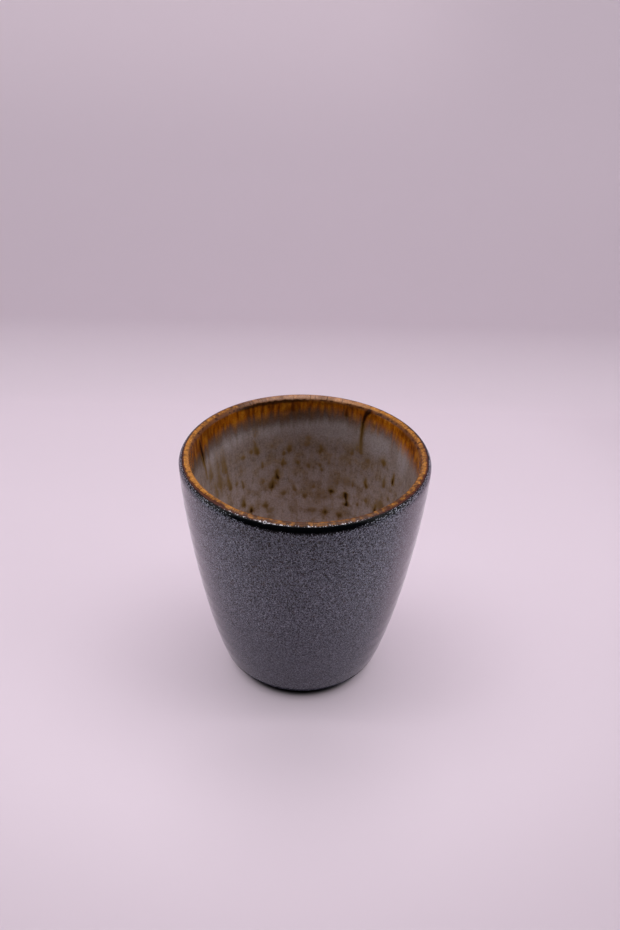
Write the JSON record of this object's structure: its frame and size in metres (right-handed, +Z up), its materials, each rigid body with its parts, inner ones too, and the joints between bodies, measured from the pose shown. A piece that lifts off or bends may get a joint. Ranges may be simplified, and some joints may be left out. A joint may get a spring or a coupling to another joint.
{
  "type": "cup",
  "caption": "Handleless round stoneware cup that tapers to a small foot, with a dark speckled outer glaze, an amber lip and a grey glazed inside, for hot or cold drinks.",
  "frame": {"origin": "centre of the foot ring, on the table", "axes": "+Z up along the axis that the cup was turned about"},
  "size_m": [0.085, 0.085, 0.086],
  "materials": {
    "stoneware": "matte",
    "dark_glaze": "satin",
    "amber_glaze": "gloss",
    "grey_glaze": "gloss"
  },
  "bodies": {
    "root": {"stoneware_body": "stoneware", "outer_glaze": "dark_glaze", "lip_glaze": "amber_glaze", "liner_glaze": "grey_glaze"}
  },
  "joints": []
}
